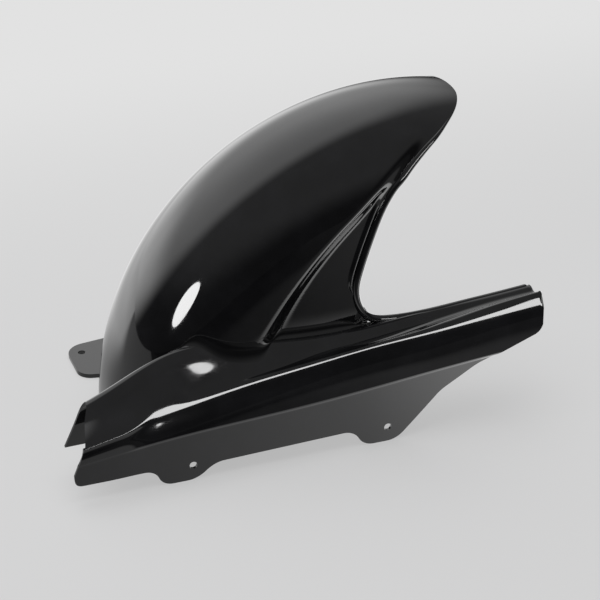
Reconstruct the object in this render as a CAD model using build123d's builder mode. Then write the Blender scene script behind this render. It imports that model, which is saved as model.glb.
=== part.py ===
from build123d import *
import os
from math import cos, dist, hypot, radians, sin

# Rear hugger mudguard: one moulded shell, in millimetres.
# The origin is on the wheel axle, in the wheel's middle plane. +X points to the rear, +Z up, and the chain
# runs on the -Y side. Angles are in degrees about the axle, from the front (0) over the top to the tail.

# Shell and wheel arch
wall = 3.0
crown_radius = 338.0
arch_half_width = 104.0
arch_depth = 100.0
arch_roundness = 2.3
tail_angle = 99.0
far_wall_height = 106.0
far_wall_tail_height = 60.0
far_wall_curve = 2.4

# Web on the chain side, sunk behind a rounded step that spirals up to the tail; depths are under the crown
web_sink = 13.0
web_depth = 220.0
step_width = 26.0
step_low_depth = 118.0
step_high_depth = 38.0
step_start_angle = 20.0
step_end_angle = 88.0
step_curve = 2.3

# Fin edge as (angle, depth under the crown), from the tip down to the inner corner over the chain guard
fin_edge = [(97.5, 2), (92, 21), (86, 43), (79, 68), (72, 107), (64.7, 141), (60.4, 165), (60, 192), (68, 209)]
lip_radius = 4.0

# Chain guard: heights of five lines along its outer surface, at even stations from front to rear
guard_front = -420.0
guard_rear = 124.0
crest_heights = [69, 97, 127, 126, 119, 119, 124, 129, 135]
hollow_heights = [61, 87, 110, 114, 112, 113, 118, 126, 132]
ridge_heights = [56, 78, 95, 102, 105, 111, 121, 133, 141]
shoulder_heights = [51, 69, 80, 88, 97, 105, 111, 119, 126]
crease_heights = [40, 49, 56, 60, 64, 70, 77, 83, 89]
guard_width = 51.0
hollow_share = 0.43
ridge_share = 0.68
band_lean = 8.5
front_band_lean = 2.5
band_swell = 0.4
flange_step = 2.0
front_flange_step = 0.6
flange_step_height = 4.0
crease_start = -350.0
crease_full = -305.0

# Inner leg of the chain guard, which closes it towards the wheel
crest_reach = 10.0
crest_shoulder = (2, 6)
leg_gap = 3.5
leg_height = 92.0
leg_top_drop = 18.0
leg_drop = 16.0
leg_foot = 30.0
leg_round = 8.0
leg_spread = 6.0
leg_spread_start = -360.0
leg_spread_end = -250.0
leg_join_angle = 20.0

# Flange outline and the two fixing tabs on the chain side
front_x = -402.0
front_lean = 0.42
front_round = 12.0
rear_x = 117.0
flange_low = 19.0
flange_middle = (15.5, 20)
rear_rise = [(60, 50), (99, 74)]
rear_corner = (6, 100)
rear_rounds = [40, 60, 16]
tab_spacing = 210.0
front_tab_x = -276.0
tab_half_width = 18.0
tab_flank = 13.0
tab_round = 22.0
tab_hole_height = 17.0
tab_hole_diameter = 8.0

# Far fixing tab, flat on the ground plane
far_tab_hole = (-329, 147)
far_tab_corners = [(-268, 176), (-345, 165), (-342, 97)]
far_tab_rounds = [18, 22, 18]
far_tab_thickness = 5.0
far_tab_root_depths = (42, 80)

web_half_width = arch_half_width - web_sink
leg_y = web_half_width - wall - leg_gap
crest_y = leg_y + crest_reach
crease_y = leg_y + guard_width
rear_tab_x = front_tab_x + tab_spacing


def ease(share):
    """Smooth change from 0 to 1 that starts and ends level."""
    share = min(max(share, 0.0), 1.0)
    return share**3 * (10 - 15 * share + 6 * share**2)


def arch_half(radius):
    """Half width of the arch at a radius: a superellipse over the crown, then straight walls."""
    rise = max(0.0, (radius - crown_radius + arch_depth) / arch_depth)
    return arch_half_width * max(0.0, 1 - rise**arch_roundness) ** (1 / arch_roundness)


def arch_radius(half):
    """Radius at which the arch is a given half width wide."""
    rise = (1 - (half / arch_half_width) ** arch_roundness) ** (1 / arch_roundness)
    return crown_radius - arch_depth + arch_depth * rise


def step_radius(angle):
    """Radius of the step between arch and web."""
    share = min(max(0.0, (angle - step_start_angle) / (step_end_angle - step_start_angle)), 1.0)
    return crown_radius - step_low_depth + (step_low_depth - step_high_depth) * share**step_curve


def near_half(angle, radius):
    """Distance of the chain side's wall from the middle plane: the arch's side, then the step, then the web."""
    share = ease((radius - step_radius(angle)) / step_width + 0.5)
    return web_half_width + (arch_half(radius) - web_half_width) * share


def far_border(angle):
    """Radius at which the far wall ends."""
    height = far_wall_height + (far_wall_tail_height - far_wall_height) * (angle / tail_angle) ** far_wall_curve
    return crown_radius - height


def spread(start, end, count, power=1.0):
    """Values after start up to end, closer together near start for a power above 1."""
    return [start + (end - start) * (k / count) ** power for k in range(1, count + 1)]


def arch_points(angle):
    """Outer line of the arch in a plane through the axle, as (across, radius), from the far wall to the web."""
    far = [(arch_half(r), r) for r in spread(crown_radius, far_border(angle), 9, 2)]
    step_top = step_radius(angle) + step_width / 2
    step_foot = step_radius(angle) - step_width / 2
    radii = spread(crown_radius, step_top, 7, 2)
    radii += spread(step_top, step_foot, 5)
    radii += spread(step_foot, crown_radius - web_depth, 3)
    return far[::-1] + [(0, crown_radius)] + [(-near_half(angle, r), r) for r in radii]


def smooth_height(heights, share):
    """Height at a share of the guard's length, on a smooth line through evenly spaced heights."""
    last = len(heights) - 1
    k = min(int(share * last), last - 1)
    part = share * last - k
    slope = [(heights[min(j + 1, last)] - heights[max(j - 1, 0)]) / 2 for j in (k, k + 1)]
    blend = part**2 * (3 - 2 * part)
    return (heights[k] + (heights[k + 1] - heights[k]) * blend
            + slope[0] * part * (1 - part) ** 2 - slope[1] * part**2 * (1 - part))


def crease_share(x):
    """Strength of the crease at a station: it grows out of a plain front end."""
    return ease((x - crease_start) / (crease_full - crease_start))


def guard_points(x, crest, hollow, ridge, shoulder, crease):
    """Outer line of the chain guard's top at a station, as (y, z), from the inner leg's foot to the crease."""
    splay = leg_spread * ease((leg_spread_end - x) / (leg_spread_end - leg_spread_start))
    lean = front_band_lean + (band_lean - front_band_lean) * crease_share(x)
    return [
        (splay - leg_y, crest - leg_height),
        (0.6 * splay - leg_y, crest - 0.65 * leg_height),
        (0.25 * splay - leg_y, crest - 0.4 * leg_height),
        (-leg_y, crest - leg_top_drop),
        (-leg_y - crest_shoulder[0], crest - crest_shoulder[1]),
        (-crest_y, crest),
        (-leg_y - hollow_share * guard_width, hollow),
        (-leg_y - ridge_share * guard_width, ridge),
        (-crease_y + lean, shoulder),
        (-crease_y + band_swell * lean, (shoulder + crease) / 2),
        (-crease_y, crease),
    ]


def inset(points, depth):
    """The points moved inwards by a depth, square to the line through their neighbours."""
    moved = []
    for k, (u, v) in enumerate(points):
        before = points[max(k - 1, 0)]
        after = points[min(k + 1, len(points) - 1)]
        run = after[0] - before[0]
        rise = after[1] - before[1]
        moved.append((u - depth * rise / hypot(run, rise), v + depth * run / hypot(run, rise)))
    return moved


def shared_marks(sections):
    """Mean share of the length at each point, so that the splines of all sections in a loft run alike."""
    means = [0.0]
    for k in range(1, len(sections[0])):
        steps = [dist(points[k - 1], points[k]) / sum(map(dist, points, points[1:])) for points in sections]
        means.append(means[-1] + sum(steps) / len(steps))
    return [mean / means[-1] for mean in means]


def radial_plane(angle):
    """Plane through the axle at an angle, with X across the wheel and Y away from the axle."""
    outward = Vector(-cos(radians(angle)), 0, sin(radians(angle)))
    return Plane(origin=(0, 0, 0), x_dir=(0, 1, 0), z_dir=Vector(0, 1, 0).cross(outward))


def at_angle(angle, radius):
    """Side view point, as (x, z), at an angle and a radius."""
    return (-radius * cos(radians(angle)), radius * sin(radians(angle)))


# Wheel arch with its far wall, step and web: thin-walled sections on planes through the axle
arch_sections = 13
arch_angles = [tail_angle * k / (arch_sections - 1) for k in range(arch_sections)]
arch_marks = shared_marks([arch_points(angle) for angle in arch_angles])
with BuildPart() as arch:
    for angle in arch_angles:
        outer = arch_points(angle)
        inner = inset(outer, wall)
        with BuildSketch(radial_plane(angle)):
            with BuildLine():
                add(Edge.make_spline(outer, parameters=arch_marks))
                add(Edge.make_spline(inner, parameters=arch_marks))
                Line(outer[0], inner[0])
                Line(outer[-1], inner[-1])
            make_face()
    loft()

# Opening under the fin: everything behind the fin edge goes, on both sides
edge_line = [at_angle(angle, crown_radius - depth) for angle, depth in fin_edge]
with BuildPart() as fin_opening:
    with BuildSketch(Plane.XZ):
        with BuildLine():
            edge = Spline(*edge_line)
            Polyline(edge @ 1, (2 * rear_x, edge_line[-1][1]), (2 * rear_x, 2 * crown_radius), edge @ 0)
        make_face()
    extrude(amount=2 * arch_half_width, both=True)

# Chain guard: a bent strip with an inner leg, a hollow top and a band above the flange
guard_sections = 14
guard_lines = [crest_heights, hollow_heights, ridge_heights, shoulder_heights, crease_heights]
guard_floor = min(crest_heights) - leg_height - 3 * wall
guard_profiles = []
for k in range(guard_sections):
    share = k / (guard_sections - 1)
    x = guard_front + (guard_rear - guard_front) * share
    heights = [smooth_height(line, share) for line in guard_lines]
    flange_y = crease_y - front_flange_step - (flange_step - front_flange_step) * crease_share(x)
    flange = [(-flange_y, heights[-1] - flange_step_height), (-flange_y, guard_floor)]
    guard_profiles.append((x, guard_points(x, *heights) + flange))
bend = len(guard_profiles[0][1]) - 2
guard_marks = shared_marks([profile[:bend] for x, profile in guard_profiles])
with BuildPart() as guard:
    for x, outer in guard_profiles:
        inner = inset(outer, wall)
        with BuildSketch(Plane.YZ.offset(x)):
            with BuildLine():
                add(Edge.make_spline(outer[:bend], parameters=guard_marks))
                add(Edge.make_spline(inner[:bend], parameters=guard_marks))
                Polyline(*outer[bend - 1:])
                Polyline(*inner[bend - 1:])
                Line(outer[0], inner[0])
                Line(outer[-1], inner[-1])
            make_face()
    loft()

# Room for the chain: all that lies under the middle of the guard's wall
with BuildPart() as chain_room:
    for x, outer in guard_profiles:
        middle = inset(outer, wall / 2)
        with BuildSketch(Plane.YZ.offset(x)):
            with BuildLine():
                add(Edge.make_spline(middle[:bend], parameters=guard_marks))
                Polyline(*middle[bend - 1:], (middle[0][0], guard_floor - wall), middle[0])
            make_face()
    loft()

# Room for the tyre: the inner leg ends at the arch's front, then runs just under the crest
crest_xs = [guard_front] + spread(guard_front, guard_rear, len(crest_heights) - 1)
leg_meets_arch = -arch_radius(leg_y - leg_spread)
leg_joins_crest = -arch_radius(leg_y) * cos(radians(leg_join_angle))
with BuildPart() as tyre_room:
    with BuildSketch(Plane.XZ.offset(leg_y - leg_spread - 2 * wall)):
        with BuildLine():
            front_line = FilletPolyline(
                (guard_front, leg_foot),
                (leg_meets_arch, leg_foot),
                (leg_joins_crest, arch_radius(leg_y) * sin(radians(leg_join_angle))),
                (crest_xs[3], crest_heights[3] - leg_drop),
                radius=leg_round,
            )
            rear_line = Spline(*[(x, crest - leg_drop) for x, crest in zip(crest_xs[3:], crest_heights[3:])])
            Polyline(rear_line @ 1, (guard_rear, guard_floor), (guard_front, guard_floor), front_line @ 0)
        make_face()
    extrude(amount=crest_y + wall - leg_y + leg_spread + 2 * wall)

# Side outline of the guard: slanted front, two fixing tabs and the rise to the rear
with BuildPart() as outline:
    with BuildSketch(Plane.XZ):
        with BuildLine():
            under = FilletPolyline(
                (front_x + front_lean * crown_radius, crown_radius + flange_low),
                (front_x, flange_low),
                (front_tab_x - tab_half_width - tab_flank, flange_low),
                (front_tab_x - tab_half_width, 0),
                (front_tab_x + tab_half_width, 0),
                (front_tab_x + tab_half_width + tab_flank, flange_middle[0]),
                (rear_tab_x - tab_half_width - tab_flank, flange_middle[1]),
                (rear_tab_x - tab_half_width, 0),
                (rear_tab_x + tab_half_width, 0),
                *[(rear_tab_x + run, rise) for run, rise in rear_rise],
                (rear_x - rear_corner[0], rear_corner[1]),
                (rear_x, crown_radius),
                radius=[front_round, *[tab_round] * 7, *rear_rounds],
            )
            Line(under @ 1, under @ 0)
        make_face()
    extrude(amount=2 * crown_radius)

# Rounded lip: up from the end of the far wall, over the tail, down the fin edge and along the guard's crest
far_turn = [(angle, depth) for angle, depth in fin_edge if crown_radius - depth > far_border(angle)]
far_side = []
for angle, depth in reversed(far_turn):
    x, z = at_angle(angle, crown_radius - depth)
    far_side.append((x, arch_half(crown_radius - depth) - wall / 2, z))
tip_x, tip_z = at_angle(fin_edge[0][0] + 0.5, crown_radius - wall / 2)
near_side = []
for angle, depth in fin_edge:
    x, z = at_angle(angle, crown_radius - depth)
    near_side.append((x, wall / 2 - near_half(angle, crown_radius - depth), z))
for x in spread(edge_line[-1][0], rear_x - 2 * wall, 3):
    crest = smooth_height(crest_heights, (x - guard_front) / (guard_rear - guard_front))
    near_side.append((x, wall / 2 - crest_y, crest - wall))
with BuildPart() as lip:
    with BuildLine() as lip_path:
        Spline(*far_side, (tip_x, 0, tip_z), *near_side)
    with BuildSketch(Plane(origin=lip_path.line @ 0, z_dir=lip_path.line % 0)):
        Circle(lip_radius)
    sweep()

# Far tab: a tongue rooted in the arch's wall, with its fixing hole
root_radii = [crown_radius - depth for depth in far_tab_root_depths]
root_radii.insert(1, sum(root_radii) / 2)
with BuildPart() as far_tab:
    with BuildSketch(Plane.XY):
        with BuildLine():
            root = Spline(*[(-radius, arch_half(radius) - wall / 2) for radius in root_radii])
            FilletPolyline(root @ 1, *far_tab_corners, root @ 0, radius=far_tab_rounds)
        make_face()
        with Locations(far_tab_hole):
            Circle(tab_hole_diameter / 2, mode=Mode.SUBTRACT)
    extrude(amount=far_tab_thickness)

# Trimmed guard with the holes of its two fixing tabs
with BuildPart() as trimmed_guard:
    add(guard.part)
    add(tyre_room.part, mode=Mode.SUBTRACT)
    add(outline.part, mode=Mode.INTERSECT)
    with BuildSketch(Plane.XZ.offset(crest_y)):
        with Locations((front_tab_x, tab_hole_height), (rear_tab_x, tab_hole_height)):
            Circle(tab_hole_diameter / 2)
    extrude(amount=guard_width, mode=Mode.SUBTRACT)

# The whole moulding
with BuildPart() as hugger_shell:
    add(arch.part)
    add(fin_opening.part, mode=Mode.SUBTRACT)
    add(lip.part)
    add(chain_room.part, mode=Mode.SUBTRACT)
    add(trimmed_guard.part)
    add(far_tab.part)
hugger_shell.part.label = "hugger_shell"

os.makedirs("parts", exist_ok=True)
export_step(hugger_shell.part, "parts/hugger_shell.step")
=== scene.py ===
# %% [markdown]
# # A gloss black rear hugger, built from surfaces
# The mudguard is one moulding: a domed arch over the wheel, a sunk web, a fin edge with a rounded lip, and
# a chain guard that runs along one side. It could be modelled by hand from a box, but calm reflections need
# smooth formulas. So each part is a surface over two parameters, and becomes a grid of points in numpy. The
# CAD model gives the frame, and the surfaces follow its sizes closely, in millimetres.

# %% Load the frame
import bpy
import numpy as np
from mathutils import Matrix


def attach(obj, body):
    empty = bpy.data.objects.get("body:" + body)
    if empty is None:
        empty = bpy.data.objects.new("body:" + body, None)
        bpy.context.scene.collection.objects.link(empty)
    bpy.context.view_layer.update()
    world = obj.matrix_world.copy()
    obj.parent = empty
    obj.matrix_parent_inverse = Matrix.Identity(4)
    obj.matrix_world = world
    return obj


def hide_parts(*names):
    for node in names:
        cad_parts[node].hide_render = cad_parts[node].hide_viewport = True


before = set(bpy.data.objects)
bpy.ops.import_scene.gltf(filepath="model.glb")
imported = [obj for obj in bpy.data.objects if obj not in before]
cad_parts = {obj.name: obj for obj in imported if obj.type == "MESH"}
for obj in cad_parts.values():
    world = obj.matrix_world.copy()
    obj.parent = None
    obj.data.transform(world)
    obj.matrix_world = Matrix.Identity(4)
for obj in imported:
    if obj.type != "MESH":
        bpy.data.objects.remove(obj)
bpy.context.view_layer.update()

# %% [markdown]
# ## Camera
# The camera comes first, so that every later choice can be judged from the photograph's place. It orbits a
# target: `back` points from the target to the camera, and the lens is 90 mm on a 36 mm sensor.

# %% Camera
azimuth, elevation, distance = np.radians(-19.639), np.radians(28.0), 1.536692
target = np.array([-0.138515, -0.065, 0.145154])
back = np.array([
    np.sin(azimuth) * np.cos(elevation),
    -np.cos(azimuth) * np.cos(elevation),
    np.sin(elevation),
])
camera_data = bpy.data.cameras.new("camera")
camera_data.lens = 90
camera_data.sensor_width = 36
camera = bpy.data.objects.new("camera", camera_data)
camera.location = target + back * distance
camera.rotation_euler = (np.pi / 2 - elevation, 0, azimuth)
bpy.context.scene.collection.objects.link(camera)
bpy.context.scene.camera = camera
print("camera stands at", [round(v, 3) for v in camera.location])

# %% [markdown]
# ## Small tools for smooth lines
# A natural cubic spline passes through a few heights and bends no more than it must. `spline` solves for
# its second derivatives once, then reads all wanted places in one go, for many rows at the same time.


# %% Spline tools
def ease(share):
    """Smooth change from 0 to 1 that starts and ends level: 10 s^3 - 15 s^4 + 6 s^5."""
    share = np.clip(share, 0, 1)
    return share**3 * (10 - 15 * share + 6 * share**2)


def spline(knots, values, at):
    """Natural cubic spline through values at knots (last axis), read at the places `at`."""
    knots = np.asarray(knots, float)
    values = np.asarray(values, float)
    at = np.clip(at, knots[0], knots[-1])
    gap = np.diff(knots)
    count = len(knots)
    matrix = np.eye(count)
    inner = np.arange(1, count - 1)
    matrix[inner, inner - 1] = gap[:-1]
    matrix[inner, inner] = 2 * (gap[:-1] + gap[1:])
    matrix[inner, inner + 1] = gap[1:]
    slope = np.diff(values) / gap
    right = np.zeros(values.shape)
    right[..., 1:-1] = 6 * np.diff(slope)
    bend = np.linalg.solve(matrix, right[..., None])[..., 0]
    k = np.clip(np.searchsorted(knots, at, side="right") - 1, 0, count - 2)
    width = gap[k]
    before = (knots[k + 1] - at) / width
    after = 1 - before

    def pick(table, index):
        """Entries of the last axis, for one row or for many rows."""
        if table.ndim == 1:
            return table[index]
        return np.take_along_axis(table, np.broadcast_to(index, table.shape[:-1] + index.shape[-1:]), -1)

    return (before * pick(values, k) + after * pick(values, k + 1)
            + ((before**3 - before) * pick(bend, k) + (after**3 - after) * pick(bend, k + 1)) * width**2 / 6)


half_way = spline([0, 1, 2], [0.0, 1.0, 0.0], np.array([0.5]))
print("a spline through 0, 1, 0 reads", round(float(half_way[0]), 3), "at a half")

# %% [markdown]
# ## Lengths and normals
# Even steps along a line give even faces. These helpers measure lines, read points at a wanted length, and
# find the direction in which a grid faces.


# %% Resampling tools
def line_marks(points):
    """Length from the start of one line to each of its points."""
    return np.concatenate([[0], np.cumsum(np.linalg.norm(np.diff(points, axis=0), axis=1))])


def even_points(line, count):
    """Points at even lengths along one line, by linear reading."""
    line_at = line_marks(line)
    at = np.linspace(0, line_at[-1], count)
    return np.stack([np.interp(at, line_at, column) for column in line.T], axis=1)


def lengths_along(points):
    """Length from the start of each row to each of its points."""
    steps = np.linalg.norm(np.diff(points, axis=1), axis=2)
    return np.concatenate([np.zeros((len(points), 1)), np.cumsum(steps, axis=1)], axis=1)


def row_interp(at, places, values):
    """Linear reading of each row: value at `at` on the line through (places, values), all rows at once."""
    span = max(places.max(), at.max()) - min(places.min(), at.min()) + 1
    lift = (np.arange(len(places)) * span)[:, None]
    wanted = np.clip(at, places[:, :1], places[:, -1:]) + lift
    flat = np.interp(wanted.ravel(), (places + lift).ravel(), values.ravel())
    return flat.reshape(at.shape)


def rows_at(at, points):
    """Points of each row at the lengths `at` along it."""
    along = lengths_along(points)
    return np.stack([row_interp(at, along, points[..., k]) for k in range(3)], axis=-1)


def grid_normals(points):
    """Unit normals of a grid, from the cross product of its two directions."""
    normal = np.cross(np.gradient(points, axis=1), np.gradient(points, axis=0))
    return normal / np.maximum(np.linalg.norm(normal, axis=2, keepdims=True), 1e-9)


print("a 3-4-5 corner has marks", line_marks(np.array([(0, 0), (3, 4)])))

# %% [markdown]
# ## From a grid to a moulded wall
# `moulded` turns a grid of millimetre points into a mesh in metres. Two modifiers then do what a mould
# does: Solidify gives the wall its thickness on the inside, and Bevel breaks the sharp edges.

# %% Mesh tools
wall_mm = 3.0


def grid_faces(rows, columns):
    """Quads of a grid, as four corner numbers each."""
    corner = np.arange(rows * columns).reshape(rows, columns)
    quads = np.stack([corner[:-1, :-1], corner[:-1, 1:], corner[1:, 1:], corner[1:, :-1]], axis=-1)
    return quads.reshape(-1, 4)


def weld(points, faces):
    """Joins points that lie together; gives them, the whole quads, and the quads folded to triangles."""
    _, first, number = np.unique(np.round(points, 3), axis=0, return_index=True, return_inverse=True)
    faces = number.reshape(-1)[faces]
    closed_sides = (faces == np.roll(faces, 1, axis=1)).sum(axis=1)
    return points[first], faces[closed_sides == 0], faces[closed_sides == 1]


def moulded(name, points, faces, wall=wall_mm, edge=0.7):
    """Mesh object with a wall on the inside and broken edges; a wall of 0 leaves a closed surface as it is."""
    points, quads, folded = weld(points, faces)
    polygons = quads.tolist() + [list(dict.fromkeys(face)) for face in folded.tolist()]
    mesh = bpy.data.meshes.new(name)
    mesh.from_pydata((points / 1000).tolist(), [], polygons)
    mesh.validate()
    mesh.polygons.foreach_set("use_smooth", np.ones(len(mesh.polygons), bool))
    mesh.materials.append(gloss)
    piece = bpy.data.objects.new(name, mesh)
    bpy.context.scene.collection.objects.link(piece)
    if wall:
        solid = piece.modifiers.new("wall", "SOLIDIFY")
        solid.thickness = wall / 1000
        solid.offset = -1
    if edge:
        broken = piece.modifiers.new("broken_edges", "BEVEL")
        broken.width = edge / 1000
        broken.segments = 2
        broken.limit_method = "ANGLE"
        broken.angle_limit = np.radians(50)
        broken.harden_normals = True
    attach(piece, "root")
    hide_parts("hugger_shell")
    print(name, "has", len(mesh.polygons), "faces before its wall")
    return piece


def moulded_grid(name, grid, **options):
    """A whole grid as one moulded piece."""
    return moulded(name, grid.reshape(-1, 3), grid_faces(*grid.shape[:2]), **options)


print("a grid of 3 by 4 points has", len(grid_faces(3, 4)), "faces")

# %% [markdown]
# ## Sums of shader nodes
# A shader formula is a tree of Math nodes. Placed one by one they hide the formula, so a small class lets
# Python's own operators place them: `0.2 + 0.5 * noise` then reads like what it means.


# %% Node tools
class Socket:
    """A node socket that can be used in sums: each operator adds one Math node."""

    def __init__(self, tree, socket):
        self.tree = tree
        self.socket = socket

    def node(self, kind, inputs, output=0, **settings):
        """Any node: settings are its properties, inputs go to its sockets by name or number."""
        made = self.tree.nodes.new(kind)
        for key, value in settings.items():
            setattr(made, key, value)
        for key, value in inputs.items():
            if isinstance(value, Socket):
                self.tree.links.new(value.socket, made.inputs[key])
            else:
                made.inputs[key].default_value = value
        return Socket(self.tree, made.outputs[output])

    def maths(self, operation, first, second):
        """One Math node with two values."""
        return self.node("ShaderNodeMath", {0: first, 1: second}, operation=operation)

    def __add__(self, other):
        return self.maths("ADD", self, other)

    def __radd__(self, other):
        return self.maths("ADD", other, self)

    def __sub__(self, other):
        return self.maths("SUBTRACT", self, other)

    def __rsub__(self, other):
        return self.maths("SUBTRACT", other, self)

    def __mul__(self, other):
        return self.maths("MULTIPLY", self, other)

    def __rmul__(self, other):
        return self.maths("MULTIPLY", other, self)

    def ramp(self, low, high):
        """0 below low, 1 above high, and a smooth rise between."""
        limits = {"Value": self, "From Min": low, "From Max": high}
        return self.node("ShaderNodeMapRange", limits, interpolation_type="SMOOTHSTEP")


def source(tree, kind, output):
    """Socket of a node that needs no input."""
    return Socket(tree, tree.nodes.new(kind).outputs[output])


print("operators for sums:", [name for name in vars(Socket) if name.strip("_") in ("add", "sub", "mul")])

# %% [markdown]
# ## Gloss black moulding
# Fresh gloss plastic is almost all reflection: a black body under a clear coat. Its life comes from small
# things: a faint ripple left by the mould, and a haze of handling marks that changes the roughness.

# %% Material
gloss = bpy.data.materials.new("gloss_black_plastic")
gloss.use_nodes = True
gloss_tree = gloss.node_tree
shader = gloss_tree.nodes["Principled BSDF"]
shader.inputs["Coat Weight"].default_value = 0.6
shader.inputs["Coat Roughness"].default_value = 0.015
shader.inputs["IOR"].default_value = 1.5
spot = source(gloss_tree, "ShaderNodeTexCoord", "Object")
haze = spot.node("ShaderNodeTexNoise", {"Vector": spot, "Scale": 34.0, "Detail": 5.0, "Roughness": 0.6})
specks = spot.node("ShaderNodeTexNoise", {"Vector": spot, "Scale": 900.0, "Detail": 2.0})
ripple = spot.node("ShaderNodeTexNoise", {"Vector": spot, "Scale": 60.0, "Detail": 1.0})
roughness = 0.035 + 0.05 * haze.ramp(0.4, 0.75) + 0.05 * specks.ramp(0.66, 0.78)
gloss_tree.links.new(roughness.socket, shader.inputs["Roughness"])
deep_black, hazy_black = (0.004, 0.004, 0.0045, 1), (0.007, 0.007, 0.008, 1)
shade_inputs = {"Factor": haze.ramp(0.3, 0.8), "A": deep_black, "B": hazy_black}
shade = spot.node("ShaderNodeMix", shade_inputs, output=2, data_type="RGBA")
gloss_tree.links.new(shade.socket, shader.inputs["Base Color"])
bump = spot.node("ShaderNodeBump", {"Height": ripple, "Strength": 0.012, "Distance": 0.002})
gloss_tree.links.new(bump.socket, shader.inputs["Normal"])
print("material has", len(gloss_tree.nodes), "nodes")

# %% [markdown]
# ## Wheel arch, as formulas
# In side view every point has an angle and a radius about the axle. The arch's half width is a superellipse
# of the radius, and on the chain side a rounded step sinks the lower part into a flat web. Formulas are
# used here, because the reflections show every bump that pulling points about would leave.

# %% Arch formulas
crown, half_width, arch_depth, roundness = 338.0, 104.0, 100.0, 2.3
web_half, shelf_sink = 91.0, 7
step_width, step_depth, step_climb, climb_power, tail_lift = 26.0, 118, 80, 2.3, 12


def arch_half(radius):
    """Half width at a radius: half_width * (1 - rise^2.3)^(1/2.3), with rise as the share of the depth."""
    rise = np.clip((radius - crown + arch_depth) / arch_depth, 0, 1)
    return half_width * (1 - rise**roundness) ** (1 / roundness)


def step_radius(angle):
    """Radius of the step between arch and web, which spirals up to the tail.

    It starts 118 mm below the crown, climbs by 80 mm times the 2.3 power of the share of its way from 20 to
    88 degrees, and eases up by 12 mm more from 66 to 92 degrees.
    """
    share = np.clip((angle - 20) / 68, 0, 1)
    return crown - step_depth + step_climb * share**climb_power + tail_lift * ease((angle - 66) / 26)


def near_half(angle, radius):
    """Distance of the chain side's wall from the middle plane: arch above the step, shelf below it.

    The shelf is the flat web, or lies 7 mm inside the arch where the arch is narrower. From 84 to 94 degrees
    it eases out to the arch, so that the step fades away at the tail.
    """
    share = ease((radius - step_radius(angle)) / step_width + 0.5)
    shelf = np.minimum(web_half, arch_half(radius) - shelf_sink * (1 - ease((angle - 84) / 10)))
    return shelf + (arch_half(radius) - shelf) * share


def polar(angle, radius):
    """Side view points (x, z) at an angle in degrees and a radius."""
    return np.stack([-radius * np.cos(np.radians(angle)), radius * np.sin(np.radians(angle))], axis=-1)


print("the step climbs from", step_radius(20.0), "to", round(float(step_radius(92.0)), 1), "mm about the axle")

# %% [markdown]
# ## Borders and sides
# The rows of the arch's grid start on the crown and run down to a border. A row of even steps would cut the
# edge into coarse faces, so the last stretch beside the border gets a larger part of the columns.

# %% Border and side tools
fine_columns, edge_band, upper_part = 500, 26.0, 0.7


def border_line(anchors, crown_angles, rows):
    """Smooth border through side view anchors: a crown angle, a point and a share of the way for each row."""
    anchor_at = line_marks(anchors)
    at = np.linspace(0, anchor_at[-1], rows)
    line = np.stack([spline(anchor_at, anchors[:, k], at) for k in (0, 1)], axis=-1)
    return np.interp(at, anchor_at, crown_angles), line, at / anchor_at[-1]


def arch_side(crown_angles, border, half, columns, bead, sign):
    """Grid from the crown to a border: points sink with the 2.3 power, and a bead rises along the border."""
    share = np.linspace(0, 1, fine_columns) ** roundness
    start = polar(crown_angles, crown)
    flat = start[:, None, :] + (border - start)[:, None, :] * share[None, :, None]
    radius = np.minimum(np.hypot(flat[..., 0], flat[..., 1]), crown)
    angle = np.degrees(np.arctan2(flat[..., 1], -flat[..., 0]))
    fine = np.stack([flat[..., 0], sign * half(angle, radius), flat[..., 1]], axis=-1)
    whole = lengths_along(fine)[:, -1:]
    band = np.minimum(edge_band, 0.5 * whole)
    split = int(columns * upper_part)
    wanted = np.concatenate([
        (whole - band) * np.linspace(0, 1, split)[None, :],
        whole - band + band * np.linspace(0, 1, columns - split + 1)[None, 1:],
    ], axis=1)
    grid = rows_at(wanted, fine)
    normal = grid_normals(grid) * -sign
    return grid + normal * bead(whole - wanted)[..., None]


print("each row keeps", round(1 - upper_part, 2), "of its columns for the last", edge_band, "mm")

# %% [markdown]
# ## Chain side of the arch
# This side's border is first hidden inside the chain guard, and then turns up into the fin edge. A low
# ridge runs beside the middle of the fin edge, as if the plastic had been drawn in towards the lip.

# %% Chain side
arch_rows, near_columns = 210, 125
ridge_height, ridge_gap, ridge_half = 1.8, 11, 6
# Each pair of the fin edge is an angle and a depth below the crown.
fin_edge = np.array([
    (97.5, 2), (92, 21), (86, 43), (79, 70), (72, 107.5), (64.7, 141), (60.4, 165), (60, 192), (68, 209),
])
fin_line = polar(fin_edge[:, 0], crown - fin_edge[:, 1])
hidden = np.array([(-300, 0), (-288, 60), (-270, 103), (-225, 103), (-160, 105), (-108, 107), (-80, 113)])
near_anchors = np.concatenate([hidden, fin_line[-2::-1]])
near_angles = np.array([0, 11, 20, 27, 35, 42, 49, 54, 57, 63, 70, 77, 85, 91, 98])
angles, near_border, way = border_line(near_anchors, near_angles, arch_rows)
ridge_share = ease((way - 0.5) / 0.06) * (1 - ease((way - 0.7) / 0.1))


def near_bead(gap):
    """Low ridge beside the border: 1.8 mm times a squared cosine, 6 mm to both sides of a line 11 mm away."""
    ridge = ridge_height * np.cos(np.pi / 2 * np.clip((gap - ridge_gap) / ridge_half, -1, 1)) ** 2
    return ridge * ridge_share[:, None]


near = arch_side(angles, near_border, near_half, near_columns, near_bead, -1)
print("chain side has", near.shape[0], "rows of", near.shape[1], "points")

# %% [markdown]
# ## Far side of the arch
# The photograph does not show the far wall, so its lower edge is a plain curve that climbs to a corner,
# from where it follows the fin edge. Both sides share the crown's line of points and so make one grid.

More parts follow.
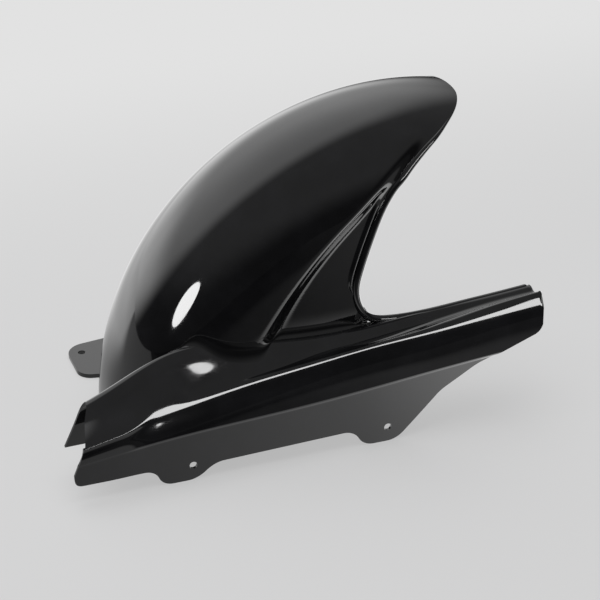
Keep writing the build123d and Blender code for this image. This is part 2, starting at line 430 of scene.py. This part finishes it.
# %% Far side and whole arch
far_columns = 86
far_corner, far_end = 80.0, 76.65
far_depth, far_climb, climb_end, far_power = 106, 46, 99, 2.4
low_angle = np.minimum(angles * far_end / far_corner, far_end)
low_border = polar(low_angle, crown - (far_depth - far_climb * (low_angle / climb_end) ** far_power))
upper = np.clip((angles - far_corner) / (near_angles[-1] - far_corner), 0, 1)
edge_angle = far_end + (fin_edge[0, 0] - far_end) * upper
edge_depth = np.interp(edge_angle, fin_edge[:5, 0][::-1], fin_edge[:5, 1][::-1])
far_border = np.where((angles < far_corner)[:, None], low_border, polar(edge_angle, crown - edge_depth))


def far_half(angle, radius):
    """Distance of the far wall from the middle plane: the plain arch at every angle."""
    return arch_half(radius)


def no_bead(gap):
    """No ridge beside the far border."""
    return 0 * gap


far = arch_side(angles, far_border, far_half, far_columns, no_bead, 1)
arch_grid = np.concatenate([far[:, ::-1], near[:, 1:]], axis=1)
arch = moulded_grid("arch", arch_grid)

# %% [markdown]
# ## Guard lines
# The chain guard is long and changes slowly, so a few heights say all about it. Nine even stations give the
# heights of its lines: crest, hollow, ridge, shoulder and crease. The lip needs the crest too, so they come
# first.

# %% Guard lines
stations = np.linspace(-420, 124, 9)
crest_line = [69, 97, 127, 126, 119, 119, 124, 129, 135]
hollow_line = [61, 88, 113, 115, 112, 113, 118, 126, 132]
ridge_line = [56, 78, 92, 98, 105, 111, 120, 131, 139]
shoulder_line = [51, 67, 78, 88, 97, 105, 111, 119, 126]
crease_line = [40, 49, 56, 60, 64, 70, 77, 83, 89]
facet_rise = np.array([2, 3, 6, 8, 8, 8, 8, 8, 8])
leg_y, crest_y, crease_y = 84.5, 94.5, 135.5
guard_width = 51.0
rear_x = 109.9
print("guard stations lie", stations[1] - stations[0], "mm apart")

# %% [markdown]
# ## Rolled lip
# A round bead closes the fin edge. It could be a bevelled curve object, but its path has to lie exactly in
# the arch's wall, so the path is taken from the arch's own grid: up the far side, over the tail, down the
# fin edge and out along the guard's crest.

# %% Lip path
half_wall = wall_mm / 2
lip_from_angle, lip_from_way = 80.6, 0.6
rim_count, lip_count = 44, 520
far_rows = angles > lip_from_angle
middle_wall = arch_grid - half_wall * grid_normals(arch_grid)
rim = np.concatenate([
    middle_wall[far_rows, 0], middle_wall[-1, 1:-1], middle_wall[way > lip_from_way, -1][::-1],
])
crotch = np.stack([fin_line[-2:, 0], np.full(2, half_wall - web_half), fin_line[-2:, 1]], axis=1)
crest_xs = np.linspace(fin_line[-1, 0], rear_x - half_wall, 5)[1:]
crest_zs = spline(stations, crest_line, crest_xs) - wall_mm
crest_part = np.stack([crest_xs, np.full(4, half_wall - crest_y), crest_zs], axis=1)
lip_knots = np.concatenate([even_points(rim, rim_count), crotch, crest_part])
lip_marks = line_marks(lip_knots)
lip_at = np.linspace(0, lip_marks[-1], lip_count)
lip_path = spline(lip_marks, lip_knots.T, np.broadcast_to(lip_at, (3, lip_count))).T
print("lip is", round(lip_marks[-1]), "mm long")

# %% [markdown]
# ## The lip's tube
# A circle is carried along the path. Each circle needs two directions across the path: one points away from
# the middle of the arch, the other is square to it. The radius grows on the way down the fin edge, and both
# ends are rounded off by letting it shrink.

# %% Lip
arch_middle = np.array([-150, 0, 150])
thin_radius, radius_gain, end_round = 1.5, 2.7, 4
ahead = np.gradient(lip_path, axis=0)
ahead /= np.linalg.norm(ahead, axis=1, keepdims=True)
outward = lip_path - arch_middle
outward -= ahead * (outward * ahead).sum(axis=1, keepdims=True)
outward /= np.linalg.norm(outward, axis=1, keepdims=True)
beside = np.cross(ahead, outward)
end_gap = np.minimum(lip_at, lip_marks[-1] - lip_at)
tail_end = line_marks(rim)[far_rows.sum() + arch_grid.shape[1] - 2]
full_radius = thin_radius + radius_gain * ease((lip_at - tail_end - 30) / 90)
lip_radius = full_radius * np.sqrt(1 - (1 - np.clip(end_gap / end_round, 0, 1)) ** 2)
round_way = np.linspace(0, 2 * np.pi, 29)[None, :, None]
ring = np.cos(round_way) * outward[:, None] + np.sin(round_way) * beside[:, None]
lip_grid = lip_path[:, None] + lip_radius[:, None, None] * ring
lip = moulded_grid("lip", lip_grid, wall=0, edge=0)

# %% [markdown]
# ## Chain guard, as a profile
# The guard is a bent strip: an inner leg, a hollow top between two ridges, a shoulder and a band that leans
# out to the crease. A spline along each line and another across them make one smooth surface, where a
# lofted mesh would show its sections in the highlight.

# %% Guard tools
front_foot_x, front_foot, front_slant = -400.8, 19, 0.42
hollow_part, ridge_part = 0.43, 0.68


def front_x(height):
    """Slanted front end of the guard at a height: 0.42 mm further back for each millimetre up."""
    return front_foot_x + front_slant * (height - front_foot)


def slanted(line, share, change):
    """x and height of a line from the slanted front (share 0) to the rear (share 1), found in four turns."""
    x = np.full(share.shape, -390.0)
    for turn in range(4):
        height = spline(stations, line, x) + change
        x = front_x(height[0]) + (rear_x - front_x(height[0])) * share
    return x, spline(stations, line, x) + change


def crispness(x):
    """0 at the plain front end, eased to 1 over 45 mm behind it."""
    return ease((x + 350) / 45)


def guard_knots(place):
    """Ten points across the guard in each of its planes; place(line, change) gives a line's x and height.

    The shoulder is a narrow facet between two of them, and below it the band leans out to the crease.
    """
    facet_foot = np.array(shoulder_line) - 2
    lines = [
        place(crest_line, -26), place(crest_line, -18), place(crest_line, -6), place(crest_line, 0),
        place(hollow_line, 0), place(ridge_line, 0), place(shoulder_line + facet_rise, 0),
        place(shoulder_line, -2), place((facet_foot + crease_line) / 2, 0), place(crease_line, 0),
    ]
    facet_x = lines[6][0]
    lean = 2.5 + 6 * crispness(facet_x)
    sides = [
        leg_y, leg_y, leg_y + 2, crest_y, leg_y + hollow_part * guard_width, leg_y + ridge_part * guard_width,
        crease_y - lean - spline(stations, facet_rise, facet_x) / 2,
        np.minimum(crease_y - lean + 1, crease_y - 0.9), crease_y - 0.4 * (lean - 1), crease_y,
    ]
    x = np.stack([line[0] for line in lines], axis=1)
    y = -np.stack([np.broadcast_to(side, facet_x.shape) for side in sides], axis=1)
    z = np.stack([line[1] for line in lines], axis=1)
    return np.stack([x, y, z], axis=-1)


guard_share = np.linspace(0, 1, 290)
knots = guard_knots(lambda line, change: slanted(line, guard_share, change))
knot_marks = lengths_along(knots)
knot_marks = (knot_marks / knot_marks[:, -1:]).mean(axis=0)
print("knots across the guard lie at", np.round(knot_marks, 2))

# %% [markdown]
# ## The guard's lower outline
# Seen from the side, the flange ends in straight runs, two fixing tabs and a sweep up to the rear. Corner
# points and radii say this in few numbers, as a drawing would, and each corner becomes an arc.


# %% Lower outline
def rounded(points, radii):
    """Outline through corner points, each replaced by an arc of its radius, as a dense line."""
    points = np.array(points, float)
    line = [points[:1]]
    for corner, before, after, radius in zip(points[1:-1], points[:-2], points[2:], radii):
        one = (before - corner) / np.linalg.norm(before - corner)
        two = (after - corner) / np.linalg.norm(after - corner)
        half = np.arccos(np.clip(one @ two, -1, 1)) / 2
        centre = corner + (one + two) / np.linalg.norm(one + two) * radius / np.sin(half)
        start = corner + one * radius / np.tan(half) - centre
        sign = np.sign(one[1] * two[0] - one[0] * two[1])
        swing = np.linspace(0, np.pi - 2 * half, 16) * sign
        arc_x = start[0] * np.cos(swing) - start[1] * np.sin(swing)
        arc_z = start[0] * np.sin(swing) + start[1] * np.cos(swing)
        line.append(centre + np.stack([arc_x, arc_z], axis=1))
    return np.concatenate(line + [points[-1:]])


outline = rounded(
    [(front_x(79), 79), (front_x(front_foot), front_foot), (-307, front_foot), (-294, 0), (-258, 0),
     (-245, 15.5), (-97, 20), (-84, 0), (-48, 0), (-6, 50), (33, 74), (rear_x - 1, 100), (rear_x, 140)],
    [12, 22, 22, 22, 22, 22, 22, 22, 40, 60, 16],
)
outline = outline[np.argmin(outline[:, 0]):]
# A tiny rise at each point keeps x growing, so that the outline can be read as height over x.
outline_x = np.maximum.accumulate(outline[:, 0]) + np.arange(len(outline)) * 1e-6
bottom_z = np.full(len(guard_share), 30.0)
for turn in range(6):
    bottom_x = front_x(bottom_z[0]) + (rear_x - front_x(bottom_z[0])) * guard_share
    bottom_z = np.interp(bottom_x, outline_x, outline[:, 1])
print("outline has", len(outline), "points, the lowest at", bottom_z.min().round(2), "mm")

# %% [markdown]
# ## Top and inner leg
# The top is read from the spline across the knots. It ends at the crease, or earlier where the outline cuts
# the band off. The inner leg hangs from the crest on the wheel's side, and is deep only near the front.

# %% Top and leg
top_columns, leg_columns = 104, 18
leg_foot, leg_spread = 34, 6
crease = knots[:, -1, [0, 2]].T
shoulder = knots[:, -3, [0, 2]].T
leg_top_x, leg_top_z = knots[:, 1, [0, 2]].T
band_share = np.clip((bottom_z - crease[1]) / (shoulder[1] - crease[1]), 0, 1)
last = knot_marks[-1] - band_share * (knot_marks[-1] - knot_marks[-3])
across = knot_marks[1] + (last - knot_marks[1])[:, None] * np.linspace(0, 1, top_columns)[None, :]
top = np.stack([spline(knot_marks, knots[..., k], across) for k in range(3)], axis=-1)

foot = leg_foot + (leg_top_z - 4 - leg_foot) * ease((leg_top_x + 320) / 40)
sink = np.linspace(1, 0, leg_columns)[None, :-1]
leg_z = leg_top_z[:, None] + (foot - leg_top_z)[:, None] * sink
spread = leg_spread * (1 - ease((leg_top_x + 360) / 110))[:, None]
leg_side = -leg_y + spread * ((leg_top_z[:, None] - leg_z) / (leg_top_z[:, None] - front_foot)) ** 1.5
leg_x = leg_top_x[:, None] + (front_x(leg_z) - front_x(leg_top_z)[:, None]) * (1 - guard_share[:, None])
leg = np.stack([leg_x, leg_side, leg_z], axis=-1)
print("top has", top.shape[1], "columns and the leg", leg.shape[1])

# %% [markdown]
# ## Flange and holes
# The flange hangs below the crease. Close columns beside the crease keep that edge crisp. The holes could
# be cut with a boolean, but that breaks smooth shading, so faces inside each hole are dropped and its rim
# is moved round.

# %% Flange and whole guard
flange_columns = 36
rear_tab, front_tab, hole_height, hole_radius = -66.0, -276.0, 17.0, 4.0
drop = np.maximum(crease[1] - bottom_z, 0)[:, None]
near_crease = np.minimum(np.array([0.8, 1.6, 2.6, 4.0])[None, :], drop)
below = near_crease[:, -1:] + (drop - near_crease[:, -1:]) * np.linspace(0, 1, flange_columns)[None, 1:]
fall = np.concatenate([near_crease, below], axis=1)
flange_z = top[:, -1:, 2] - fall
flange_y = top[:, -1:, 1] + (0.6 + 1.4 * crispness(shoulder[0])[:, None]) * ease(fall / 4)
flange_x = top[:, -1:, 0] + (front_x(flange_z) - front_x(top[:, -1:, 2])) * (1 - guard_share[:, None])
flange = np.stack([flange_x, flange_y, flange_z], axis=-1)
guard_grid = np.concatenate([leg, top, flange], axis=1)


def drill(points, faces, centre, radius):
    """Round hole through the flange: drops the faces inside and moves the rest to the rim."""
    offset = points[:, [0, 2]] - np.array(centre)
    away = np.linalg.norm(offset, axis=1)
    middle = np.linalg.norm(points[faces].mean(axis=1)[:, [0, 2]] - np.array(centre), axis=1)
    inside = (middle < radius) & (points[faces][:, :, 1].max(axis=1) < wall_mm - crease_y)
    hole_rim = np.intersect1d(faces[inside], faces[~inside])
    points = points.copy()
    points[hole_rim[:, None], [0, 2]] = np.array(centre) + offset[hole_rim] / away[hole_rim, None] * radius
    return points, faces[~inside]


guard_points, guard_faces = guard_grid.reshape(-1, 3), grid_faces(*guard_grid.shape[:2])
for hole_x in (front_tab, rear_tab):
    guard_points, guard_faces = drill(guard_points, guard_faces, (hole_x, hole_height), hole_radius)
guard = moulded("chain_guard", guard_points, guard_faces)

# %% [markdown]
# ## Where arch and guard meet
# A moulding has no sharp valley where two walls meet. In each plane across the guard, the arch's line and
# the guard's line meet in a point, which is the last place where the guard's line still lies inside the
# arch.

# %% Meeting line
line_count = 900
blend_x = np.linspace(-276, -58, 220)
blend_rows = np.arange(len(blend_x))
fine_at = np.broadcast_to(np.linspace(0, 0.85, line_count), (len(blend_x), line_count))
blend_knots = guard_knots(lambda line, change: (blend_x, spline(stations, line, blend_x) + change))
line_y = spline(knot_marks, blend_knots[..., 1], fine_at)
line_z = spline(knot_marks, blend_knots[..., 2], fine_at)


def arch_wall(x, z):
    """Distance of the arch's chain side wall from the middle plane, at side view points."""
    return near_half(np.degrees(np.arctan2(z, -x)), np.minimum(np.hypot(x, z), crown))


buried = -line_y < arch_wall(blend_x[:, None], line_z)
meet = line_count - 1 - np.argmax(buried[:, ::-1], axis=1)
guard_line = np.stack([np.broadcast_to(blend_x[:, None], line_y.shape), line_y, line_z], axis=-1)
valley = guard_line[blend_rows, meet]
print("valley runs from height", valley[0, 2].round(1), "to", valley[-1, 2].round(1), "mm")

# %% [markdown]
# ## Blend between arch and guard
# A curve with the meeting point as its middle handle leaves the arch level with it and arrives level with
# the guard, so the strip of all these curves fills the valley. A bevel would need both walls in one mesh.
# The blend reaches up to 12 mm along both walls and narrows towards its ends.

# %% Blend
least_reach, reach_gain, rise_limit = 1, 11, 40
reach = least_reach + reach_gain * ease((blend_x + 284) / 36) * ease((-58 - blend_x) / 60)
landing = lengths_along(guard_line)[blend_rows, meet] + reach
on_guard = rows_at(landing[:, None], guard_line)
rise_z = valley[:, 2:] + np.linspace(0, rise_limit, 300)[None, :]
rise_x = np.broadcast_to(blend_x[:, None], rise_z.shape)
arch_line = np.stack([rise_x, -arch_wall(rise_x, rise_z), rise_z], axis=-1)
on_arch = rows_at(reach[:, None], arch_line)
bow = np.linspace(0, 1, 25)[None, :, None]
blend_grid = on_arch * (1 - bow) ** 2 + 2 * valley[:, None] * bow * (1 - bow) + on_guard * bow**2
moulded_grid("blend", blend_grid, wall=half_wall, edge=0)

# %% [markdown]
# ## Far tab
# The tab on the other side is a flat tongue with a hole, for a bolt into the swinging arm. Its grid runs
# from the hole's rim out to the outline, so the hole is round without any cutting.

# %% Far tab
tab_hole, tab_thickness = np.array([-329.0, 147.0]), 5.0
root_r = np.array([258.0, 272.0, 284.0, 296.0])
root = np.stack([-root_r, arch_half(root_r) - half_wall], axis=1)
tab_line = rounded([root[0], (-268, 176), (-345, 165), (-342, 97), root[-1]], [18, 22, 18])
tab_rim = even_points(np.concatenate([tab_line, root[::-1]]), 160)
bearing = np.unwrap(np.arctan2(tab_rim[:, 1] - tab_hole[1], tab_rim[:, 0] - tab_hole[0]))
tab_hole_rim = tab_hole + hole_radius * np.stack([np.cos(bearing), np.sin(bearing)], axis=1)
outwards = np.linspace(0, 1, 9)[None, :, None] ** 1.5
tab_flat = tab_hole_rim[:, None, :] + (tab_rim - tab_hole_rim)[:, None, :] * outwards
tab_grid = np.concatenate([tab_flat, np.full(tab_flat.shape[:2] + (1,), tab_thickness)], axis=2)
moulded_grid("far_tab", tab_grid, wall=tab_thickness)

# %% [markdown]
# ## Studio floor
# Gloss black shows only what it mirrors. A real studio would use cards and flags around the part; here the
# floor does their work. Camera rays see an even pale ground, while mirrored rays see bright and dark parts
# of it.

# %% Floor
floor_half = 4
floor_corners = [(-floor_half, -floor_half, 0), (floor_half, -floor_half, 0), (floor_half, floor_half, 0),
                 (-floor_half, floor_half, 0)]
floor_mesh = bpy.data.meshes.new("floor")
floor_mesh.from_pydata(floor_corners, [], [(0, 1, 2, 3)])
floor = bpy.data.objects.new("floor", floor_mesh)
bpy.context.scene.collection.objects.link(floor)
pale = bpy.data.materials.new("pale_floor")
pale.use_nodes = True
floor_mesh.materials.append(pale)
floor_tree = pale.node_tree
matt = floor_tree.nodes["Principled BSDF"]
matt.inputs["Base Color"].default_value = (0.74, 0.74, 0.75, 1)
matt.inputs["Roughness"].default_value = 0.9
matt.inputs["Specular IOR Level"].default_value = 0.1
spot = source(floor_tree, "ShaderNodeTexCoord", "Object")
side = spot.node("ShaderNodeSeparateXYZ", {0: spot}, output=0)
depth = spot.node("ShaderNodeSeparateXYZ", {0: spot}, output=1)
mirrored = source(floor_tree, "ShaderNodeLightPath", "Is Glossy Ray")
ground = 0.66 + 0.1 * depth.ramp(0.1, 1.2)
# Mirrored ground: a glow behind the part, a bright part to its right, and dark in front of it.
far_ground = depth.ramp(0.1, 0.4)
far_glow = 0.95 - 0.33 * side.ramp(-0.9, -0.4)
mirror_ground = 0.35 + far_glow * far_ground * (depth + 0.9 * side).ramp(-0.42, -0.2)
mirror_ground = mirror_ground + (1 - far_ground) * (0.9 * side.ramp(-0.45, 0.3) + 0.8 * side.ramp(-0.1, 0.12))
mirror_ground = mirror_ground * (0.03 + 0.09 * depth.ramp(-0.75, -0.5) + 0.88 * depth.ramp(-0.34, -0.27))
glow = spot.node("ShaderNodeEmission", {"Color": ground + mirrored * (mirror_ground - ground)})
# Most of the ground glows by itself, and the rest takes the part's soft shadow.
glow_share = depth.maths("MAXIMUM", 0.68 + 0.32 * depth.ramp(0.1, 1.1), mirrored)
mixed = spot.node("ShaderNodeMixShader", {0: glow_share, 1: Socket(floor_tree, matt.outputs[0]), 2: glow})
floor_tree.links.new(mixed.socket, floor_tree.nodes["Material Output"].inputs["Surface"])
print("floor material has", len(floor_tree.nodes), "nodes")

# %% [markdown]
# ## Lights
# A window gives the arch its leaf-shaped highlight, and a long soft box draws the line along the guard.
# Each is linked to the pieces that it is meant for, so one highlight can be placed without moving the
# other. A large lamp overhead makes the shadow and stays out of the reflections.


# %% Lights
def panel(name, place, aim, width, height, power, shape="RECTANGLE"):
    """Area light at a place, turned to an aim point."""
    light = bpy.data.lights.new(name, "AREA")
    light.shape = shape
    light.size = width
    light.size_y = height
    light.energy = power
    lamp = bpy.data.objects.new(name, light)
    away = np.array(place, float) - np.array(aim, float)
    flat = np.hypot(away[0], away[1])
    lamp.location = place
    lamp.rotation_euler = (np.arctan2(flat, away[2]), 0, np.arctan2(away[0], -away[1]))
    bpy.context.scene.collection.objects.link(lamp)
    return lamp


middle = (-0.14, -0.03, 0.15)
guard_middle = (-0.15, -0.13, 0.1)
overhead = panel("overhead", (-0.2, 0.1, 2.6), middle, width=2.4, height=2.4, power=42)
overhead.visible_glossy = False
window = panel("window", (-2.4, -1.05, 0.75), middle, width=0.75, height=0.7, power=17, shape="ELLIPSE")
strip = panel("strip", (0.36, -2.24, 1.08), guard_middle, width=1.9, height=0.34, power=20)
for lamp, pieces in ((window, (arch,)), (strip, (guard, lip))):
    receivers = bpy.data.collections.new(lamp.name + "_lights")
    for piece in pieces:
        receivers.objects.link(piece)
    lamp.light_linking.receiver_collection = receivers
    print(lamp.name, "lights", [piece.name for piece in pieces])

# %% [markdown]
# ## Room and backdrop
# The world is a dark room with one white backdrop behind the part, which the dome mirrors as a pale field
# with a soft edge. An image of a studio could do this too, but a formula of the direction can be tuned one
# number at a time. Camera rays see an even pale grey.

# %% World
camera_grey = 0.76
world = bpy.data.worlds.new("studio")
bpy.context.scene.world = world
world.use_nodes = True
world_tree = world.node_tree
seen = source(world_tree, "ShaderNodeLightPath", "Is Camera Ray")
direction = source(world_tree, "ShaderNodeTexCoord", "Generated")
parts = world_tree.nodes.new("ShaderNodeSeparateXYZ")
world_tree.links.new(direction.socket, parts.inputs[0])
x, y, z = (Socket(world_tree, parts.outputs[k]) for k in range(3))
backdrop = (y - 0.333 * x + 0.667 * z).ramp(0.74, 1.02)
backdrop_light = 0.82 + 0.6 * (1 - z.ramp(0.1, 0.36)) - 0.25 * x.ramp(0.1, 0.45)
room = 0.03 + 0.18 * z.ramp(0.15, 0.6) + backdrop * backdrop_light
strength = seen * camera_grey + (1 - seen) * room
world_tree.links.new(strength.socket, world_tree.nodes["Background"].inputs["Color"])
bpy.context.scene.view_settings.view_transform = "Standard"
print("world has", len(world_tree.nodes), "nodes")

# %% [markdown]
# The surfaces have to stay as large as the CAD model.
